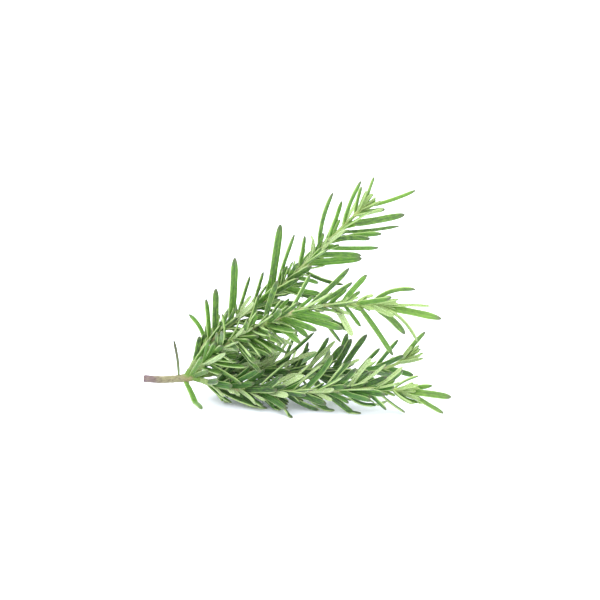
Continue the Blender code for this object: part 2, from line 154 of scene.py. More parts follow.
# The leaves that stand out in the outline, by shoot. Each is its station along the stem, its
# roll round the stem (0 is the upper side, 90 towards the viewer), its spread from the stem's
# heading, its length and width, how far it bows (above 0 it ascends first and then curls out)
# and its twist about its own midline. The woody stem has a dry leaf first, and then green ones.
WOODY_LEAVES = [
    Leaf(15.7, 2, 91, 18.5, 1.3, 0.03, 70), Leaf(17.7, 143, 75.5, 21.8, 2.6, 0.05, 70),
    Leaf(20.4, 42, 67, 18.5, 2.0, 0.02, -120), Leaf(21, 62, 55, 15, 2.2, 0.03, -140),
    Leaf(18.6, 66, 27, 20, 3.0, 0, -150),
]
RISING_LEAVES = [
    Leaf(17, -12, 66, 16, 2.2, 0.10, -60), Leaf(19.5, 14, 52, 21.4, 2.5, 0.02, -70),
    Leaf(23, -8, 46.5, 21.4, 3.1, 0, -80), Leaf(32, 5, 51, 30.8, 3.6, 0.01, -85),
    Leaf(35.5, -22, 36, 20, 2.1, 0, -40), Leaf(44.5, 12, 44, 17.5, 2.2, 0, -60),
    Leaf(54, -6, 45, 32, 3.6, -0.01, -85), Leaf(57.5, 16, 38.3, 27.7, 2.6, -0.02, -65),
    Leaf(71, -10, 39, 15.5, 2.1, 0, -60), Leaf(83, 8, 34, 27.5, 2.6, -0.06, -70),
    Leaf(89, -18, 26, 19, 2.2, 0, -60), Leaf(98.5, 10, 27, 22, 2.4, -0.05, -70),
    Leaf(111.5, 0, 28, 13.6, 2.1, -0.02, -50), Leaf(111, 168, 27, 24.3, 2.0, -0.04, 110),
    Leaf(100, 172, 35.8, 26.7, 3.3, -0.02, 95), Leaf(95, 190, 42.9, 29.5, 1.7, -0.02, 60),
    Leaf(88, 168, 36, 25, 2.6, 0.04, 110), Leaf(85.5, 190, 49.9, 27.1, 2.1, -0.02, 60),
    Leaf(75, 172, 39.3, 25.2, 3.4, 0.01, 90), Leaf(72, 160, 64, 20, 2.1, -0.07, 120),
    Leaf(66, 200, 60, 15, 2.1, 0.03, 60), Leaf(60, 150, 50, 18, 2.5, -0.03, 90),
    Leaf(49, 175, 40, 19, 2.6, 0, 90), Leaf(78, -25, 38, 9, 1.9, 0, -40),
    Leaf(106.3, 140, 36.6, 13.3, 2.3, 0, 90), Leaf(90, 150, 46, 18.8, 2.4, 0.03, 100),
    Leaf(7.2, 84, 22, 16, 2.4, 0.02, -150), Leaf(7, 45, 26, 16, 2.4, 0.03, -120),
    Leaf(8.5, -5, 12, 13.5, 2.3, 0, -60),
]
ARCHING_LEAVES = [
    Leaf(62.5, -10, 29.7, 26, 2.6, 0.02, -70), Leaf(66.5, 12, 27, 20, 2.5, 0, -80),
    Leaf(91, 25, 31.7, 20.9, 2.7, -0.16, -85), Leaf(93.5, 110, 5, 29.5, 3.5, 0.02, 125),
    Leaf(94.5, 165, 33, 23.6, 2.4, 0.11, -20), Leaf(90.7, 200, 37.4, 23.4, 3.2, 0.05, 50),
    Leaf(85, 178, 54.6, 28.9, 2.7, 0.01, 60), Leaf(79, 190, 56, 13.7, 1.9, 0, 60),
    Leaf(75, 150, 66, 16, 2.9, 0.02, -80), Leaf(54, 165, 34.9, 25.1, 3.4, 0.02, 100),
    Leaf(66, 190, 64.6, 21.4, 1.9, 0, 40), Leaf(44.7, 150, 55.4, 18.4, 2.9, 0.04, 60),
    Leaf(95.5, 20, 10.6, 22.1, 1.4, -0.02, 20), Leaf(72, -15, 35, 11, 2.2, 0, -60),
    Leaf(7, 120, 30, 15, 2.5, 0.02, 150), Leaf(7, 70, 24, 17, 2.6, 0.04, -140),
    Leaf(57.5, 140, 30.5, 18, 3.0, 0.02, 120), Leaf(60.5, 172, 38.9, 23.8, 2.6, 0.02, 80),
    Leaf(49.2, 145, 39.1, 19.6, 3.0, 0.02, 110), Leaf(51.7, 178, 63, 14.5, 2.7, 0.02, 90),
]
REAR_LEAVES = [
    Leaf(35.2, 12, 48.1, 27.6, 2.8, 0, -60), Leaf(51.7, -6, 60, 18.8, 2.6, 0.03, -70),
    Leaf(63.5, 10, 65.9, 18.9, 3.3, 0.02, -75), Leaf(67.2, -4, 55, 21.3, 3.1, -0.02, -80),
    Leaf(75.5, 10, 48, 15, 2.5, 0, -70), Leaf(82.7, -12, 42.5, 17.7, 2.4, 0, -60),
    Leaf(95.4, 4, 21.6, 18.3, 2.7, -0.02, -70), Leaf(73, 60, 28, 16, 3.0, 0, 150),
    Leaf(46, 8, 70, 16, 2.4, 0.05, -60), Leaf(26, -4, 60, 20, 2.7, 0.04, -70),
    Leaf(33, 30, 50, 19, 2.6, 0, -40), Leaf(59, 30, 67.6, 19.9, 3.4, 0, -90),
    Leaf(65.5, -14, 74.5, 18.4, 3.1, 0, -80), Leaf(7, 60, 17, 17, 3.0, 0, -150),
    Leaf(88, 160, 28, 13.5, 2.7, 0, 100),
]
FRONT_LEAVES = [
    Leaf(8, 150, 6.7, 27.5, 3.2, -0.03, 40), Leaf(43, 165, 26, 18, 2.5, -0.05, 120),
    Leaf(46, 130, 20, 18, 3.1, 0.02, 130), Leaf(70, 160, 19.3, 19.6, 2.6, -0.2, 30),
    Leaf(72, 100, 26, 18, 2.8, 0.02, 150), Leaf(92.2, 165, 17, 14.5, 2.2, -0.14, 40),
    Leaf(97, 150, 27.1, 19.6, 2.7, 0, 60), Leaf(96, 80, 22.6, 22.2, 3.3, 0, 150),
    Leaf(92.2, -20, 10.9, 16.4, 2.5, 0, -60), Leaf(24, 60, 24, 20, 3.1, 0, 170),
    Leaf(57, 40, 40, 19, 2.6, 0.02, 140), Leaf(31, 110, 34, 19, 2.8, 0.02, 130),
    Leaf(7, 50, 24, 17, 3.1, 0, -150), Leaf(6.4, -50, 26, 14, 2.5, 0.03, -60),
    Leaf(78, 95, 50, 19.5, 2.8, 0.02, 170),
]

# Papery scales left at the fork by leaves that have dried up
SCALES = [Leaf(19.3, -20, 62, 3.4, 1.5, 0.1, 0), Leaf(19.0, 172, 74, 3.2, 1.5, 0.1, 0),
          Leaf(20.3, 40, 48, 3.8, 1.6, 0.1, 20), Leaf(18.2, 95, 60, 2.6, 1.4, 0.1, -20)]
SCALE_THICKNESS = 0.35
DRY_THICKNESS = 0.8

SHOOTS = [
    Shoot("rising_shoot",
          [(-50, 0.3, 9.6), (-40.5, 3, 24.5), (-28, 6, 34.7), (-11.7, 9, 45.8),
           (2.6, 12, 57.8), (16.9, 15, 71.8), (30.5, 17.5, 85)],
          (2.6, 1.6), 5.5, (16, 21, 19), 2.85, 80, RISING_LEAVES),
    Shoot("arching_shoot",
          [(-47, 0.5, 9.9), (-33.7, -2, 24.7), (-15.6, -4.5, 35.8), (1.1, -6, 42.9),
           (14.3, -6, 45.2), (29.3, -5, 45.4), (38.5, -4, 43.9)],
          (2.5, 1.4), 5.8, (14, 20, 18), 2.75, 70, ARCHING_LEAVES),
    Shoot("rear_shoot",
          [(-46.5, 0.6, 9.9), (-29.7, 6, 10.6), (-3.3, 10, 9.2), (23.1, 13, 8.0),
           (40.7, 15, 9.6), (48.6, 15.5, 13.1), (52, 15.5, 15.6)],
          (2.5, 1.5), 5.5, (16, 20, 17), 2.85, 60, REAR_LEAVES),
    Shoot("front_shoot",
          [(-47, 0.5, 9.7), (-32, -6, 7.4), (-12.1, -11, 7.0), (9.9, -15, 8.6),
           (29.7, -17, 10.6), (48.5, -18.5, 10)],
          (2.5, 1.5), 5.5, (16, 20, 18), 2.85, 75, FRONT_LEAVES),
]

# Camera, light and table. A pixel of the frame is 0.44 mm wide at the sprig.
FRAME_PIXELS = 600
PIXEL_WIDTH = 0.44
FRAME_WIDTH = FRAME_PIXELS * PIXEL_WIDTH * MM
LENS = 90
SENSOR = 36
CAMERA_HEIGHT_ANGLE = math.radians(16)
AIM = (Vector((1.1, 0, 45.77)) - MIDDLE) * MM
SKY_STRENGTH = 1.95
LIGHT_FROM = Vector((0.3, 0.1, 1))
LIGHT_STRENGTH = 2.6
LIGHT_WIDTH = math.radians(80)
FLOOR_SIZE = 8.0
FLOOR_COLOURS = ((0.84, 0.86, 0.98, 1), (0.86, 0.88, 1, 1))

# The dark, middle and light green of each kind of needle, out of 255
SKIN_PAINTS = {
    "needle_skin": ((36, 74, 13), (70, 120, 22), (116, 160, 50)),
    # The deep skin is a darker copy of the needle skin: painted shade for the two low shoots that lie
    # along the table.
    "deep_needle_skin": ((22, 54, 10), (48, 100, 20), (92, 144, 44)),
    "young_skin": ((46, 88, 16), (78, 126, 26), (120, 162, 48)),
}


def smooth_line(points, step):
    """Points about one step apart on a smooth curve through these points."""
    points = [Vector(p) - MIDDLE for p in points]
    knots = [2 * points[0] - points[1], *points, 2 * points[-1] - points[-2]]
    line = []
    for a, b, c, d in zip(knots, knots[1:], knots[2:], knots[3:]):
        count = max(1, round((c - b).length / step))
        for i in range(count):
            t = i / count
            line.append(b + (c - a) * t / 2 + (2 * a - 5 * b + 4 * c - d) * t**2 / 2
                        + (3 * b - a - 3 * c + d) * t**3 / 2)
    return [*line, points[-1]]


class Stem:
    """A stem's axis, with places on it given by their distance from its root."""

    def __init__(self, route, diameters):
        self.line = smooth_line(route, STEM_STEP)
        self.reach = [0.0]
        for a, b in zip(self.line, self.line[1:]):
            self.reach.append(self.reach[-1] + (b - a).length)
        self.length = self.reach[-1]
        self.diameters = diameters

    def at(self, station):
        """The point on the axis and the way it heads there."""
        i = int(np.searchsorted(self.reach, station)) - 1
        i = min(max(i, 0), len(self.line) - 2)
        share = (station - self.reach[i]) / (self.reach[i + 1] - self.reach[i])
        before = self.line[max(i - 1, 0)]
        after = self.line[min(i + 2, len(self.line) - 1)]
        return self.line[i].lerp(self.line[i + 1], share), (after - before).normalized()

    def radius(self, station):
        first, last = self.diameters
        return (first + (last - first) * station / self.length) / 2


def blade_width(t):
    """A needle's width at this share of its length, as a share of its full width."""
    root = min(1, ROOT_WIDTH + ROOT_FLARE * t)
    tip = math.sqrt(max(0, 1 - max(0, (t - TAPER_FROM) / TAPER_LENGTH) ** 2))
    return root * tip


def press_on_table(line):
    """The same line, bent along the table from where it would go below it."""
    pressed = [line[0]]
    for a, b in zip(line, line[1:]):
        step = b - a
        end = pressed[-1] + step
        if end.z < PRESSED_HEIGHT:
            drop = PRESSED_HEIGHT - pressed[-1].z
            level = Vector((step.x, step.y, 0))
            run = math.sqrt(max(0, step.length_squared - drop**2))
            end = pressed[-1] + level.normalized() * run + UP * drop
        pressed.append(end)
    return pressed


def leaf_line(stem, leaf):
    """A needle's midline from the stem's axis to its tip, and its upper face's way at each point."""
    root, along = stem.at(leaf.station)
    above = (UP - along * along.dot(UP)).normalized()
    nearer = along.cross(above)
    roll, spread = math.radians(leaf.roll), math.radians(leaf.spread)
    out = above * math.cos(roll) + nearer * math.sin(roll)
    heading = along * math.cos(spread) + out * math.sin(spread)
    across = along * math.sin(spread) - out * math.cos(spread)
    knee = root + (heading / 2 + across * 2 * leaf.bow) * leaf.length
    tip = root + heading * leaf.length
    line = []
    for i in range(SAMPLES + 1):
        t = i / SAMPLES
        line.append(root * (1 - t) ** 2 + knee * 2 * t * (1 - t) + tip * t**2)
    line = press_on_table(line)
    faces = []
    for i, point in enumerate(line):
        ahead = (line[min(i + 1, SAMPLES)] - line[max(i - 1, 0)]).normalized()
        face = (along - ahead * ahead.dot(along)).normalized()
        face = Matrix.Rotation(math.radians(leaf.twist), 3, ahead) @ face
        if point.z < 2 * PRESSED_HEIGHT:
            face = UP if face.z > 0 else -UP
        faces.append(face)
    return line, faces


class Room:
    """The space that stems and needles already fill, by solid."""

    def __init__(self):
        self.points = np.empty((0, 3))
        self.radii = np.empty(0)
        self.shares = np.empty(0)
        self.owners = np.empty(0, dtype="U20")

    def add(self, owner, line, radii, shares):
        self.points = np.concatenate([self.points, np.array(line)])
        self.radii = np.concatenate([self.radii, radii])
        self.shares = np.concatenate([self.shares, shares])
        self.owners = np.concatenate([self.owners, np.full(len(line), owner, dtype="U20")])

    def clear_of(self, owner, line, radii, shares):
        """Is this line clear of the other solids, and of its own one's needles save near their roots?"""
        line = np.array(line)
        near = ((self.points > line.min(0) - NEAR) & (self.points < line.max(0) + NEAR)).all(1)
        gaps = np.linalg.norm(line[:, None] - self.points[near][None], axis=2)
        reach = np.array(radii)[:, None] + self.radii[near][None]
        other = (self.owners[near] != owner)[None]
        if (other & (gaps < reach + SOLID_GAP)).any():
            return False
        outer = (np.array(shares)[:, None] > SAME_SHOOT_FROM) & (self.shares[near] > SAME_SHOOT_FROM)
        return not (~other & outer & (gaps < reach * SAME_SHOOT_SHARE)).any()


def place(room, owner, stem, leaf, draw, tries=TRIES):
    """The first of a few turns of this needle that has room, as (leaf, line, faces), or None."""
    shares = [i / SAMPLES for i in range(SAMPLES + 1)]
    for turn in range(tries):
        swing = draw.uniform(-1, 1) * turn
        lift = draw.uniform(-1, 1) * turn
        tried = leaf._replace(roll=leaf.roll + ROLL_SWING * swing,
                              spread=leaf.spread + SPREAD_SWING * lift,
                              length=leaf.length * (1 - SHORTENING * turn))
        line, faces = leaf_line(stem, tried)
        radii = [max(tried.width / 2 * blade_width(t), LEAST_RADIUS) for t in shares]
        if room.clear_of(owner, line, radii, shares):
            room.add(owner, line, radii, shares)
            return tried, line, faces
    return None


def length_at(lengths, share):
    """A rule leaf's length at this share of the stem, from the shoot's three lengths."""
    return float(np.interp(share, (0, 0.5, 1), lengths))


def lit_twist(roll, draw, spare):
    """A twist that brings most of a needle's upper face round to the light in front of the sprig."""
    to_light = (90 - roll) % 360 - 180
    return LIT_SHARE * to_light + draw.uniform(-spare, spare)


def opposite_pairs(shoot, stem, draw):
    """Crossed pairs along the stem, each leaf with a small one in its axil."""
    leaves, small = [], []
    station, pair = STUB_LENGTH + FIRST_PAIR, 0
    while station < stem.length - TIP_LENGTH - LAST_PAIR:
        share = station / stem.length
        for side in (0, 180):
            roll = shoot.first_roll + 90 * pair + side + draw.uniform(-14, 14)
            taken = any(abs(listed.station - station) < TAKEN_REACH * shoot.spacing
                        and math.cos(math.radians(listed.roll - roll)) > TAKEN_FACING
                        for listed in shoot.listed)
            leaf = Leaf(station + draw.uniform(-0.5, 0.5), roll, draw.uniform(42, 58) - 12 * share,
                        length_at(shoot.lengths, share) * draw.uniform(0.85, 1.12),
                        shoot.widest * draw.uniform(0.85, 1.1), draw.uniform(-0.04, 0.05),
                        lit_twist(roll, draw, 95))
            if not taken:
                leaves.append(leaf)
            small.append(leaf._replace(
                station=station + 1.2, roll=roll + draw.uniform(-28, 28), spread=draw.uniform(22, 42),
                length=draw.uniform(8, 14) * (1.2 - 0.5 * share), width=draw.uniform(1.5, 2.0),
                twist=lit_twist(roll, draw, 80)))
        station += shoot.spacing * (0.8 + 0.3 * share) * draw.uniform(0.92, 1.08)
        pair += 1
    return leaves, small


def young_leaves(shoot, stem, draw):
    """The close pairs round a shoot's bud, shorter and more upright towards its end."""
    leaves = []
    for pair in range(YOUNG_PAIRS):
        share = pair / (YOUNG_PAIRS - 1)
        station = stem.length - TIP_LENGTH + 1.8 + (TIP_LENGTH - 3) * share
        for side in (0, 180):
            roll = shoot.first_roll + 45 + 90 * pair + side + draw.uniform(-12, 12)
            length = shoot.lengths[2] * (0.72 - 0.38 * share) * draw.uniform(0.9, 1.1)
            leaves.append(Leaf(station, roll, 36 - 26 * share, length, 2.2 - 0.8 * share,
                               draw.uniform(-0.08, 0), draw.uniform(-25, 25)))
    return leaves


def fill_leaves(fill, draw):
    """Needles of every length on the side of a shoot that faces its neighbours and the viewer."""
    leaves = []
    for _ in range(fill.count):
        roll = draw.uniform(*fill.rolls)
        leaves.append(Leaf(draw.uniform(*fill.stations), roll, draw.uniform(*fill.spreads),
                           draw.uniform(*fill.lengths), draw.uniform(*FILL_WIDTHS),
                           draw.uniform(-0.05, 0.08), lit_twist(roll, draw, 105)))
    return leaves


def tuft_leaves(stem, draw):
    """The small crowded leaves of the axils, longest and closest in the lower half of a shoot."""
    leaves = []
    station = STUB_LENGTH + 2
    while station < stem.length - TIP_LENGTH - 1:
        share = station / stem.length
        for _ in range(TUFT_LEAVES):
            roll = draw.uniform(0, 360)
            leaves.append(Leaf(station + draw.uniform(-0.9, 0.9), roll, draw.uniform(16, 60),
                               length_at(TUFT_LENGTHS, share) * draw.uniform(0.45, 1),
                               draw.uniform(1.3, 2.0), draw.uniform(-0.08, 0.08),
                               lit_twist(roll, draw, 120)))
        station += TUFT_STEP * (0.75 + 0.8 * share)
    return leaves


def bud_leaves(stem, draw):
    """The folded leaves that close a shoot's end."""
    leaves = []
    for pair in range(BUD_PAIRS):
        for side in (0, 180):
            leaves.append(Leaf(stem.length - 0.4 - 0.7 * pair, 40 + 90 * pair + side, 9 + 7 * pair,
                               4.2 + 1.2 * pair + draw.uniform(-0.5, 0.5), 1.0 + 0.1 * pair,
                               -0.06, draw.uniform(-15, 15)))
    return leaves


def tip_name(shoot):
    return shoot.name.replace("_shoot", "_tip")


def solid_at(shoot, stem, station):
    """The solid that a stem belongs to at this station."""
    if station < STUB_LENGTH:
        return "woody_stem"
    return shoot.name if station < stem.length - TIP_LENGTH else tip_name(shoot)


def grow():
    """The stems' axes, and every needle of the sprig as {solid: [(leaf, line, faces, is it small)]}."""
    draw = random.Random(GROWTH_SEED)
    room = Room()
    woody = Stem(WOODY_ROUTE, (WOODY_DIAMETER, WOODY_DIAMETER))
    room.add("woody_stem", woody.line, [WOODY_DIAMETER / 2] * len(woody.line), [0] * len(woody.line))
    stems = {"woody_stem": woody}
    for shoot in SHOOTS:
        stem = stems[shoot.name] = Stem(shoot.route, shoot.diameters)
        for station in np.arange(0, stem.length, 1.0):
            owner = solid_at(shoot, stem, station)
            room.add(owner, [stem.at(station)[0]], [stem.radius(station)], [0])
    grown = {name: [] for name in [*stems, *map(tip_name, SHOOTS)]}

    def keep(name, stem, leaves, small=False, tries=TRIES):
        for leaf in leaves:
            placed = place(room, name, stem, leaf, draw, tries)
            if placed:
                grown[name].append((*placed, small))

    keep("woody_stem", woody, WOODY_LEAVES)
    for shoot in SHOOTS:
        stem = stems[shoot.name]
        for leaf in shoot.listed:
            keep(solid_at(shoot, stem, leaf.station), stem, [leaf])
    for shoot in SHOOTS:
        keep(tip_name(shoot), stems[shoot.name], young_leaves(shoot, stems[shoot.name], draw))
    axils = {}
    for shoot in SHOOTS:
        leaves, axils[shoot.name] = opposite_pairs(shoot, stems[shoot.name], draw)
        keep(shoot.name, stems[shoot.name], leaves)
    for name, leaves in axils.items():
        keep(name, stems[name], leaves, small=True)
    for shoot in SHOOTS:
        keep(shoot.name, stems[shoot.name], fill_leaves(FILLS[shoot.name], draw), tries=FILL_TRIES)
    for shoot in SHOOTS:
        stem = stems[shoot.name]
        keep(tip_name(shoot), stem, bud_leaves(stem, draw), small=True, tries=TUFT_TRIES)
        keep(shoot.name, stem, tuft_leaves(stem, draw), small=True, tries=TUFT_TRIES)
    return stems, grown


class Shells:
    """Closed shells gathered into one mesh, with named values at each point."""

    def __init__(self):
        self.points, self.faces, self.values = [], [], {}
        self.count = 0

    def loft(self, rings, values, tip=None):
        """Adds a closed shell through the rings, and to a tip if it has one. Each ring runs
        clockwise as seen from the one before it."""
        ring_count, sides = rings.shape[:2]
        points = rings.reshape(-1, 3)
        first = self.count
        for ring in range(ring_count - 1):
            for i in range(sides):
                a = first + ring * sides + i
                b = first + ring * sides + (i + 1) % sides
                self.faces.append((a, b, b + sides, a + sides))
        self.faces.append(tuple(first + i for i in reversed(range(sides))))
        last = first + (ring_count - 1) * sides
        if tip is None:
            self.faces.append(tuple(last + i for i in range(sides)))
        else:
            end = first + len(points)
            points = np.concatenate([points, [tip]])
            for i in range(sides):
                self.faces.append((last + i, last + (i + 1) % sides, end))
        self.points.append(points)
        self.count += len(points)
        for name, value in values.items():
            value = np.asarray(value, dtype=float)
            whole = np.broadcast_to(value, rings.shape[:2] + value.shape[2:])
            spread = whole.reshape(ring_count * sides, -1)
            if tip is not None:
                spread = np.concatenate([spread, spread[-1:]])
            self.values.setdefault(name, []).append(spread)

    def build(self, name, material):
        mesh = bpy.data.meshes.new(name)
        mesh.from_pydata((np.concatenate(self.points) * MM).tolist(), [], self.faces)
        for key, parts in self.values.items():
            set_values(mesh, key, np.concatenate(parts))
        mesh.shade_smooth()
        mesh.materials.append(material)
        return link(name, mesh)


def set_values(mesh, name, values):
    """Keeps a number or a place for each point of the mesh, for its material to read."""
    if values.ndim == 1 or values.shape[1] == 1:
        mesh.attributes.new(name, "FLOAT", "POINT").data.foreach_set("value", values.ravel())
    else:
        mesh.attributes.new(name, "FLOAT_VECTOR", "POINT").data.foreach_set("vector", values.ravel())


def link(name, data):
    obj = bpy.data.objects.new(name, data)
    bpy.context.scene.collection.objects.link(obj)
    return obj


def whole_section(half):
    """The closed section, clockwise from the groove, whose right half is given."""
    mirrored = [(-across, through, felt) for across, through, felt in reversed(half[1:-1])]
    return np.array([*half, *mirrored], dtype=float)


def unit(vectors):
    return vectors / np.linalg.norm(vectors, axis=-1, keepdims=True)


def sample(values, shares):
    """An evenly spaced row of vectors, read at these shares of its length."""
    steps = np.linspace(0, 1, len(values))
    return np.stack([np.interp(shares, steps, values[:, axis]) for axis in range(3)], axis=1)


def add_blade(shells, leaf, line, faces, small, draw, youth, thickness=LEAF_THICKNESS):
    """A needle: its section along its midline, blunt at the tip, with its colour's driving values."""
    section = whole_section(SMALL_HALF_SECTION if small else HALF_SECTION)
    t = np.array(SMALL_RINGS if small else LEAF_RINGS)
    line, faces = np.array(line), np.array(faces)
    tone, phase = draw.random(), draw.uniform(0, 2 * math.pi)
    ahead = unit(sample(line, np.minimum(t + 0.04, 1)) - sample(line, np.maximum(t - 0.04, 0)))
    side = unit(np.cross(ahead, sample(faces, t)))
    face = np.cross(side, ahead)
    widths = np.array([blade_width(share) for share in t])
    rounding = np.sqrt(1 - np.clip((t - 1 + TIP_ROUNDING) / TIP_ROUNDING, 0, 1) ** 2)
    half = leaf.width / 2 * widths
    thick = thickness * (0.6 + 0.4 * widths) * rounding
    waver = leaf.width * WAVER * t * np.sin(5 * t + phase)
    centre = sample(line, t) + side * waver[:, None]
    swell = 1 + 0.5 * WAVER * np.sin(17 * t + 2 * phase)
    across = section[None, :, 0] * (half * swell)[:, None]
    through = section[None, :, 1] * thick[:, None]
    rings = centre[:, None] + side[:, None] * across[..., None] + face[:, None] * through[..., None]
    rings[..., 2] = np.maximum(rings[..., 2], 0)
    tip = line[-1] + side[-1] * leaf.width * WAVER * math.sin(5 + phase)
    tip[2] = max(tip[2], 0)
    grain = np.stack([across + tone * 50, np.broadcast_to(t[:, None] * leaf.length, across.shape),
                      np.broadcast_to(section[None, :, 1] + phase * 9, across.shape)], axis=-1)
    shells.loft(rings, {
        "along": t[:, None], "across": section[None, :, 0], "felt": section[None, :, 2],
        "tone": np.full((1, 1), tone), "youth": np.full((1, 1), youth), "grain": grain,
    }, tip)


def needles_piece(name, needles, stem, material, draw):
    """One piece of needles that grow from the same stem."""
    shells = Shells()
    for leaf, line, faces, small in needles:
        youth = leaf.station / stem.length + (0.15 if small else 0)
        add_blade(shells, leaf, line, faces, small, draw, youth)
    return shells.build(name, material)


def stem_rings(stem, stations, radii, ridge=0.0, turn=0.0):
    """Rings round a stem's axis, clockwise from above, and the angle of each of their points."""
    angles = np.linspace(0, 2 * math.pi, STEM_SIDES, endpoint=False)
    shape = 1 + ridge * np.cos(RIDGES * (angles - turn))
    rings = []
    for station, radius in zip(stations, radii):
        point, along = stem.at(station)
        above = (UP - along * along.dot(UP)).normalized()
        nearer = along.cross(above)
        ring = np.cos(angles)[:, None] * np.array(above) + np.sin(angles)[:, None] * np.array(nearer)
        rings.append(np.array(point) + ring * (shape * radius)[:, None])
    return np.array(rings), angles


def stem_piece(name, stem, start, end, joints, material, ends_here):
    """A stretch of a leafy stem, ridged below its leaves and swollen where they join it."""
    stations = np.append(np.arange(start, end, STEM_RING_STEP), end)
    radii = []
    for station in stations:
        near = min((abs(station - joint) for joint in joints), default=JOINT_LENGTH * 9)
        radius = stem.radius(station) * (1 + JOINT_SWELLING * math.exp(-(near / JOINT_LENGTH) ** 2))
        if ends_here:
            left = min(1, (end - station) / END_ROUNDING)
            radius *= max(END_RADIUS, math.sqrt(1 - (1 - left) ** 2))
        radii.append(radius)
    rings, angles = stem_rings(stem, stations, radii, RIDGE_HEIGHT, RIDGE_TURN)
    grain = np.stack(np.broadcast_arrays(
        np.cos(angles)[None] * 1.2, np.sin(angles)[None] * 1.2, stations[:, None]), axis=-1)
    shells = Shells()
    shells.loft(rings, {"station": (stations / stem.length)[:, None],
                        "ridge": np.cos(RIDGES * (angles - RIDGE_TURN))[None], "grain": grain})
    return shells.build(name, material)


def fused_bark(stems):
    """The bare stem, its node and the stubs of its shoots, melted into one closed skin."""
    shells = Shells()
    axis = stems["woody_stem"]
    stations = np.linspace(0, axis.length, WOODY_RINGS)
    fork = axis.length - SWELLING_LENGTH
    swelling = np.exp(-(((stations - fork) / SWELLING_LENGTH) ** 2))
    radii = WOODY_DIAMETER / 2 * (1 + (NODE_SWELLING - 1) * swelling)
    for scar in SCAR_STATIONS:
        radii += SCAR_HEIGHT * np.exp(-(((stations - scar) / SCAR_LENGTH) ** 2))
    radii[-1] *= FORK_END
    shells.loft(stem_rings(axis, stations, radii)[0], {})
    for shoot in SHOOTS:
        places = np.linspace(0, STUB_LENGTH, STUB_RINGS)
        radii = np.full(STUB_RINGS, STUB_DIAMETER / 2)
        radii[-1] *= STUB_END
        shells.loft(stem_rings(stems[shoot.name], places, radii)[0], {})
    rough = shells.build("bark_rough", None)
    melt = rough.modifiers.new("melt", "REMESH")
    melt.mode = "VOXEL"
    melt.voxel_size = BARK_GRAIN * MM
    soften = rough.modifiers.new("soften", "SMOOTH")
    soften.iterations = BARK_SMOOTHING
    bpy.context.view_layer.update()
    evaluated = rough.evaluated_get(bpy.context.evaluated_depsgraph_get())
    mesh = bpy.data.meshes.new_from_object(evaluated)
    bpy.data.objects.remove(rough)
    return mesh


def nearest_station(stem, points, until):
    """Each point's nearest station on a stem up to a limit, and its distance from the axis there."""
    stations = np.arange(0, until, AXIS_STEP)
    axis = np.array([stem.at(station)[0] for station in stations])
    gaps = np.linalg.norm(points[:, None] - axis[None], axis=2)
    best = gaps.argmin(axis=1)
    return stations[best], gaps[np.arange(len(points)), best]


def bark_piece(stems, material):
    """The woody stem's skin with its fissures, its cut face and its change to green at the fork."""
    mesh = fused_bark(stems)
    count = len(mesh.vertices)
    points, normals = np.empty(count * 3), np.empty(count * 3)
    mesh.vertices.foreach_get("co", points)
    mesh.vertex_normals.foreach_get("vector", normals)
    points, normals = points.reshape(-1, 3) / MM, normals.reshape(-1, 3)
    axis = stems["woody_stem"]
    station, gap = nearest_station(axis, points, axis.length)
    green = np.zeros(count)
    for shoot in SHOOTS:
        on_stub, stub_gap = nearest_station(stems[shoot.name], points, STUB_LENGTH)
        ahead = np.clip(on_stub / GREEN_BY, 0, 1)
        green = np.where(stub_gap < gap + 0.2, np.maximum(green, ahead), green)
    facing = np.array(axis.at(0)[1])
    cut = np.clip((-(normals @ facing) - 0.5) * 4, 0, 1) * (station < CUT_DEPTH)
    fissures = np.array([fissure(point, place) for point, place in zip(points, station)])
    depth = FISSURE_DEPTH * fissures * (1 - green) * (1 - cut)
    points = points - normals * depth[:, None]
    mesh.vertices.foreach_set("co", (points * MM).ravel())
    set_values(mesh, "station", station / axis.length)
    set_values(mesh, "green", green)
    set_values(mesh, "cut", cut)
    set_values(mesh, "fissure", fissures)
    set_values(mesh, "radial", gap / (WOODY_DIAMETER / 2))
    mesh.update()
    mesh.shade_smooth()
    mesh.materials.clear()
    mesh.materials.append(material)
    return link("woody_stem_bark", mesh)


def fissure(point, station):
    """How deep the bark is split at this place, from 0 to 1: long narrow cracks along the stem."""
    spot = Vector((station * 0.22, point[1] * 1.5, point[2] * 1.5))
    wave = noise.noise(spot * 1.3) + 0.5 * noise.noise(spot * 3.1)
    return max(0, 1 - abs(wave) * 5)


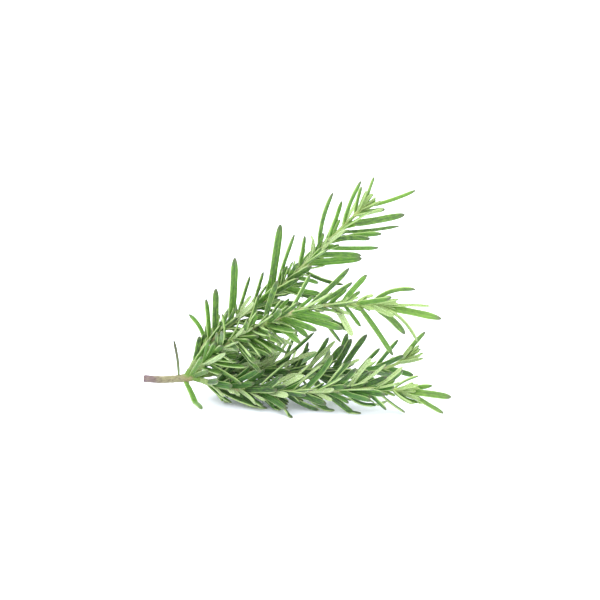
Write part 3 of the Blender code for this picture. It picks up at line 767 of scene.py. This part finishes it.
class Tree:
    """A material's node tree, with short calls for the nodes that the sprig uses."""

    def __init__(self, name):
        self.material = bpy.data.materials.new(name)
        self.material.use_nodes = True
        self.nodes = self.material.node_tree.nodes
        self.shader = self.nodes["Principled BSDF"]

    def join(self, source, target):
        if isinstance(source, bpy.types.NodeSocket):
            self.material.node_tree.links.new(source, target)
        else:
            target.default_value = source

    def drive(self, socket, source):
        """Sets one of the shader's sockets to a constant or to another node's output."""
        self.join(source, self.shader.inputs[socket])

    def value(self, name):
        node = self.nodes.new("ShaderNodeAttribute")
        node.attribute_name = name
        return node.outputs["Fac"]

    def place(self, name, scale=(1, 1, 1)):
        node = self.nodes.new("ShaderNodeAttribute")
        node.attribute_name = name
        mapping = self.nodes.new("ShaderNodeMapping")
        mapping.inputs["Scale"].default_value = scale
        self.join(node.outputs["Vector"], mapping.inputs["Vector"])
        return mapping.outputs["Vector"]

    def noise(self, place, scale, detail=3.0):
        node = self.nodes.new("ShaderNodeTexNoise")
        node.inputs["Scale"].default_value = scale
        node.inputs["Detail"].default_value = detail
        self.join(place, node.inputs["Vector"])
        return node.outputs["Fac"]

    def dots(self, place, scale):
        """The distance to the nearest of many scattered points."""
        node = self.nodes.new("ShaderNodeTexVoronoi")
        node.inputs["Scale"].default_value = scale
        self.join(place, node.inputs["Vector"])
        return node.outputs["Distance"]

    def ease(self, value, start, end, low=0.0, high=1.0):
        """Goes smoothly from low to high as the value goes from start to end."""
        node = self.nodes.new("ShaderNodeMapRange")
        node.interpolation_type = "SMOOTHSTEP"
        for socket, number in zip(("From Min", "From Max", "To Min", "To Max"), (start, end, low, high)):
            node.inputs[socket].default_value = number
        self.join(value, node.inputs["Value"])
        return node.outputs["Result"]

    def math(self, operation, first, second=0.0):
        node = self.nodes.new("ShaderNodeMath")
        node.operation = operation
        self.join(first, node.inputs[0])
        self.join(second, node.inputs[1])
        return node.outputs[0]

    def mix(self, share, first, second):
        """A colour between two others."""
        node = self.nodes.new("ShaderNodeMix")
        node.data_type = "RGBA"
        self.join(share, node.inputs[0])
        self.join(first, node.inputs[6])
        self.join(second, node.inputs[7])
        return node.outputs[2]

    def bump(self, height, distance, strength=1.0):
        node = self.nodes.new("ShaderNodeBump")
        node.inputs["Strength"].default_value = strength
        node.inputs["Distance"].default_value = distance
        self.join(height, node.inputs["Height"])
        self.drive("Normal", node.outputs["Normal"])


def paint(red, green, blue):
    """A colour as it looks on a screen, out of 255, in the shader's own linear numbers."""
    shares = [channel / 255 for channel in (red, green, blue)]
    linear = [s / 12.92 if s <= 0.04045 else ((s + 0.055) / 1.055) ** 2.4 for s in shares]
    return (*linear, 1)


def needle_material(name, dark, middle, light):
    """A needle's skin: glossy mottled green above with painted shade in its groove and pale rolled
    margins that carry a painted edge highlight, and pale felt below.
    """
    tree = Tree(name)
    along, across, tone = tree.value("along"), tree.value("across"), tree.value("tone")
    mottling = tree.noise(tree.place("grain", (1, 0.4, 1)), 1.1, 5)
    strands = tree.noise(tree.place("grain", (5, 0.35, 2)), 1.0, 3)
    green = tree.mix(tree.ease(tone, 0, 1), dark, middle)
    green = tree.mix(tree.ease(mottling, 0.35, 0.75, 0, 0.55), green, light)
    green = tree.mix(tree.ease(strands, 0.5, 0.75, 0, 0.35), green, light)
    # Painted shade: the green is darkened along the sunken groove of the upper face.
    groove = tree.ease(tree.math("ABSOLUTE", across), 0.02, 0.14, 0.55, 0)
    green = tree.mix(groove, green, dark)
    # The pale margin is partly the rolled edge's own colour and partly a painted highlight along the
    # needle's edges.
    margin = tree.ease(tree.math("ABSOLUTE", across), 0.74, 0.97, 0, 0.75)
    green = tree.mix(margin, green, paint(176, 202, 130))
    green = tree.mix(tree.ease(tree.value("youth"), 0.75, 1.25, 0, 0.4), green, paint(122, 158, 48))
    green = tree.mix(tree.ease(along, 0.02, 0.2, 0.6, 0), green, paint(146, 172, 84))
    weathered = tree.math("MULTIPLY", tree.ease(along, 0.84, 1), tree.ease(mottling, 0.3, 0.6, 0.4, 0.9))
    green = tree.mix(weathered, green, paint(76, 80, 58))
    fibres = tree.noise(tree.place("grain", (7, 1.6, 4)), 1.3, 4)
    felt = tree.mix(tree.ease(fibres, 0.35, 0.7), paint(116, 150, 76), paint(208, 222, 176))
    midrib = tree.ease(tree.math("ABSOLUTE", across), 0.03, 0.16, 0.5, 0)
    felt = tree.mix(midrib, felt, paint(112, 144, 68))
    felt = tree.mix(tree.ease(tree.value("youth"), 0.7, 1.15, 0, 0.6), felt, paint(132, 164, 70))
    felted = tree.value("felt")
    tree.drive("Base Color", tree.mix(tree.ease(felted, 0.1, 0.8), green, felt))
    satin = tree.ease(mottling, 0.3, 0.7, 0.38, 0.54)
    tree.drive("Roughness", tree.math("MAXIMUM", satin, tree.ease(felted, 0.1, 0.8, 0, 0.9)))
    tree.drive("Sheen Weight", 0.12)
    tree.drive("Sheen Roughness", 0.5)
    tree.drive("Subsurface Weight", 0.12)
    tree.drive("Subsurface Radius", (0.5, 0.9, 0.2))
    tree.drive("Subsurface Scale", 0.6 * MM)
    glands = tree.ease(tree.dots(tree.place("grain"), 3.2), 0.05, 0.3, 1, 0)
    relief = tree.math("ADD", tree.math("MULTIPLY", strands, 0.8), tree.math("MULTIPLY", glands, 0.25))
    relief = tree.math("ADD", relief, tree.math("MULTIPLY", tree.math("MULTIPLY", fibres, felted), 1.4))
    tree.bump(relief, 0.12 * MM, 0.8)
    return tree.material


def stem_material():
    """A leafy stem: pale downy green with pinkish tan patches, and paler along its ridges."""
    tree = Tree("leafy_stem")
    patches = tree.noise(tree.place("grain", (0.5, 0.5, 0.16)), 1.0, 3)
    down = tree.noise(tree.place("grain", (3, 3, 0.9)), 2.2, 4)
    skin = tree.mix(tree.ease(patches, 0.5, 0.66), paint(128, 154, 80), paint(172, 154, 116))
    skin = tree.mix(tree.ease(tree.value("ridge"), -0.4, 1, 0, 0.45), skin, paint(178, 190, 132))
    skin = tree.mix(tree.ease(tree.value("station"), 0.02, 0.14, 0.9, 0), skin, paint(98, 128, 54))
    skin = tree.mix(tree.ease(tree.value("station"), 0.75, 1, 0, 0.7), skin, paint(140, 166, 76))
    skin = tree.mix(tree.ease(down, 0.45, 0.75, 0, 0.55), skin, paint(206, 208, 178))
    tree.drive("Base Color", skin)
    tree.drive("Roughness", tree.ease(down, 0.3, 0.7, 0.6, 0.85))
    tree.drive("Sheen Weight", 0.3)
    tree.drive("Sheen Roughness", 0.4)
    tree.bump(down, 0.15 * MM)
    return tree.material


def bark_material():
    """The woody stem: mauve brown at the cut end, tan at the node and green where shoots begin."""
    tree = Tree("woody_bark")
    coordinates = tree.nodes.new("ShaderNodeTexCoord")
    stretch = tree.nodes.new("ShaderNodeMapping")
    stretch.inputs["Scale"].default_value = (180, 1100, 1100)
    tree.join(coordinates.outputs["Object"], stretch.inputs["Vector"])
    fibres = tree.noise(stretch.outputs["Vector"], 1.0, 5)
    station = tree.value("station")
    bark = tree.mix(tree.ease(station, 0.06, 0.48), paint(100, 78, 90), paint(128, 126, 90))
    bark = tree.mix(tree.ease(station, 0.72, 0.92), bark, paint(140, 132, 84))
    bark = tree.mix(tree.ease(fibres, 0.4, 0.7, 0, 0.6), bark, paint(152, 144, 118))
    bark = tree.mix(tree.ease(tree.value("fissure"), 0.1, 0.9, 0, 0.6), bark, paint(72, 52, 46))
    bark = tree.mix(tree.value("green"), bark, paint(96, 128, 52))
    radial = tree.value("radial")
    wood = tree.mix(tree.ease(radial, 0.2, 0.3), paint(132, 108, 74), paint(196, 182, 142))
    wood = tree.mix(tree.ease(radial, 0.78, 0.88), wood, paint(126, 132, 74))
    rays = tree.ease(fibres, 0.4, 0.65, 0, 0.4)
    wood = tree.mix(rays, wood, paint(158, 136, 92))
    tree.drive("Base Color", tree.mix(tree.value("cut"), bark, wood))
    tree.drive("Roughness", tree.ease(fibres, 0.3, 0.7, 0.66, 0.9))
    tree.bump(fibres, 0.18 * MM)
    return tree.material


def dry_material():
    """A dried needle: olive green at its root and dark olive grey at its tip."""
    tree = Tree("dry_leaf")
    along = tree.value("along")
    wrinkles = tree.noise(tree.place("grain", (5, 0.5, 2)), 1.6, 4)
    skin = tree.mix(tree.ease(along, 0.1, 0.75), paint(110, 130, 82), paint(80, 86, 62))
    skin = tree.mix(tree.ease(wrinkles, 0.4, 0.7, 0, 0.4), skin, paint(140, 146, 106))
    tree.drive("Base Color", skin)
    tree.drive("Roughness", tree.ease(wrinkles, 0.3, 0.7, 0.6, 0.85))
    tree.bump(wrinkles, 0.2 * MM)
    return tree.material


def scale_material():
    """The papery scales at the fork."""
    tree = Tree("papery_scale")
    veins = tree.noise(tree.place("grain", (4, 0.6, 2)), 1.4, 4)
    skin = tree.mix(tree.ease(tree.value("along"), 0.1, 0.9), paint(168, 148, 104), paint(128, 100, 74))
    skin = tree.mix(tree.ease(veins, 0.4, 0.7, 0, 0.6), skin, paint(188, 174, 140))
    tree.drive("Base Color", skin)
    tree.drive("Roughness", tree.ease(veins, 0.3, 0.7, 0.65, 0.85))
    tree.bump(veins, 0.15 * MM)
    return tree.material


def stand_for(piece, node):
    """The piece moves with the sprig's one body and stands for a solid."""
    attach(piece, "root")
    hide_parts(node)


def dress_woody_stem(stems, needles, draw, green):
    """The bark, the dry leaf, the green leaves round the fork and the papery scales."""
    node = "woody_stem"
    stand_for(bark_piece(stems, bark_material()), node)
    shells = Shells()
    add_blade(shells, *needles[0], draw, 0, DRY_THICKNESS)
    stand_for(shells.build(f"{node}_dry_leaf", dry_material()), node)
    stand_for(needles_piece(f"{node}_leaves", needles[1:], stems[node], green, draw), node)
    shells = Shells()
    for scale in SCALES:
        line, faces = leaf_line(stems[node], scale)
        add_blade(shells, scale, line, faces, True, draw, 0, SCALE_THICKNESS)
    stand_for(shells.build(f"{node}_scales", scale_material()), node)


def dress_shoots(stems, grown, draw, skins):
    """Each leafy shoot's stem and needles, up to its tip and then in its tip."""
    skin = stem_material()
    for shoot in SHOOTS:
        stem, tip = stems[shoot.name], tip_name(shoot)
        seam = stem.length - TIP_LENGTH
        joints = [leaf.station for name in (shoot.name, tip)
                  for leaf, line, faces, small in grown[name] if not small]
        spans = ((shoot.name, STUB_LENGTH - STEM_OVERLAP, seam, "needle_green", skins[shoot.name][0]),
                 (tip, seam - STEM_OVERLAP / 2, stem.length, "young_green", skins[shoot.name][1]))
        for name, start, end, slot, leafy in spans:
            stand_for(stem_piece(name + "_stem", stem, start, end, joints, skin, name == tip), name)
            stand_for(needles_piece(name + "_needles", grown[name], stem, leafy, draw), name)


def make_floor():
    tree = Tree("white_table")
    coordinates = tree.nodes.new("ShaderNodeTexCoord")
    clouds = tree.noise(coordinates.outputs["Object"], 6.0, 2)
    tree.drive("Base Color", tree.mix(clouds, *FLOOR_COLOURS))
    tree.drive("Roughness", 0.6)
    tree.drive("Specular IOR Level", 0.2)
    bpy.ops.mesh.primitive_plane_add(size=FLOOR_SIZE)
    floor = bpy.context.object
    floor.name = "floor"
    floor.data.materials.append(tree.material)


def light_the_room():
    scene = bpy.context.scene
    scene.world = bpy.data.worlds.new("white_room")
    scene.world.use_nodes = True
    sky = scene.world.node_tree.nodes["Background"]
    sky.inputs["Color"].default_value = (1, 1, 1, 1)
    sky.inputs["Strength"].default_value = SKY_STRENGTH
    light = bpy.data.lights.new("soft_light", "SUN")
    light.energy = LIGHT_STRENGTH
    light.angle = LIGHT_WIDTH
    link("soft_light", light).rotation_euler = (-LIGHT_FROM).to_track_quat("-Z", "Y").to_euler()
    scene.view_settings.view_transform = "Standard"


def make_camera():
    """Looks at the sprig from straight in front and a little above."""
    camera = bpy.data.cameras.new("camera")
    camera.lens = LENS
    camera.sensor_width = SENSOR
    eye = link("camera", camera)
    back = Vector((0, -math.cos(CAMERA_HEIGHT_ANGLE), math.sin(CAMERA_HEIGHT_ANGLE)))
    eye.location = AIM + back * FRAME_WIDTH * LENS / SENSOR
    eye.rotation_euler = (-back).to_track_quat("-Z", "Y").to_euler()
    bpy.context.scene.camera = eye


make_camera()
light_the_room()
make_floor()
stems, grown = grow()
draw = random.Random(TONE_SEED)
green, deep, young = [needle_material(name, *(paint(*colour) for colour in colours))
                      for name, colours in SKIN_PAINTS.items()]
dress_woody_stem(stems, grown["woody_stem"], draw, green)
# The low rear and front shoots wear the darker copy of the needle skin, as painted shade near the table.
dress_shoots(stems, grown, draw, {"rising_shoot": (green, young), "arching_shoot": (green, young),
                                  "rear_shoot": (deep, green), "front_shoot": (deep, green)})
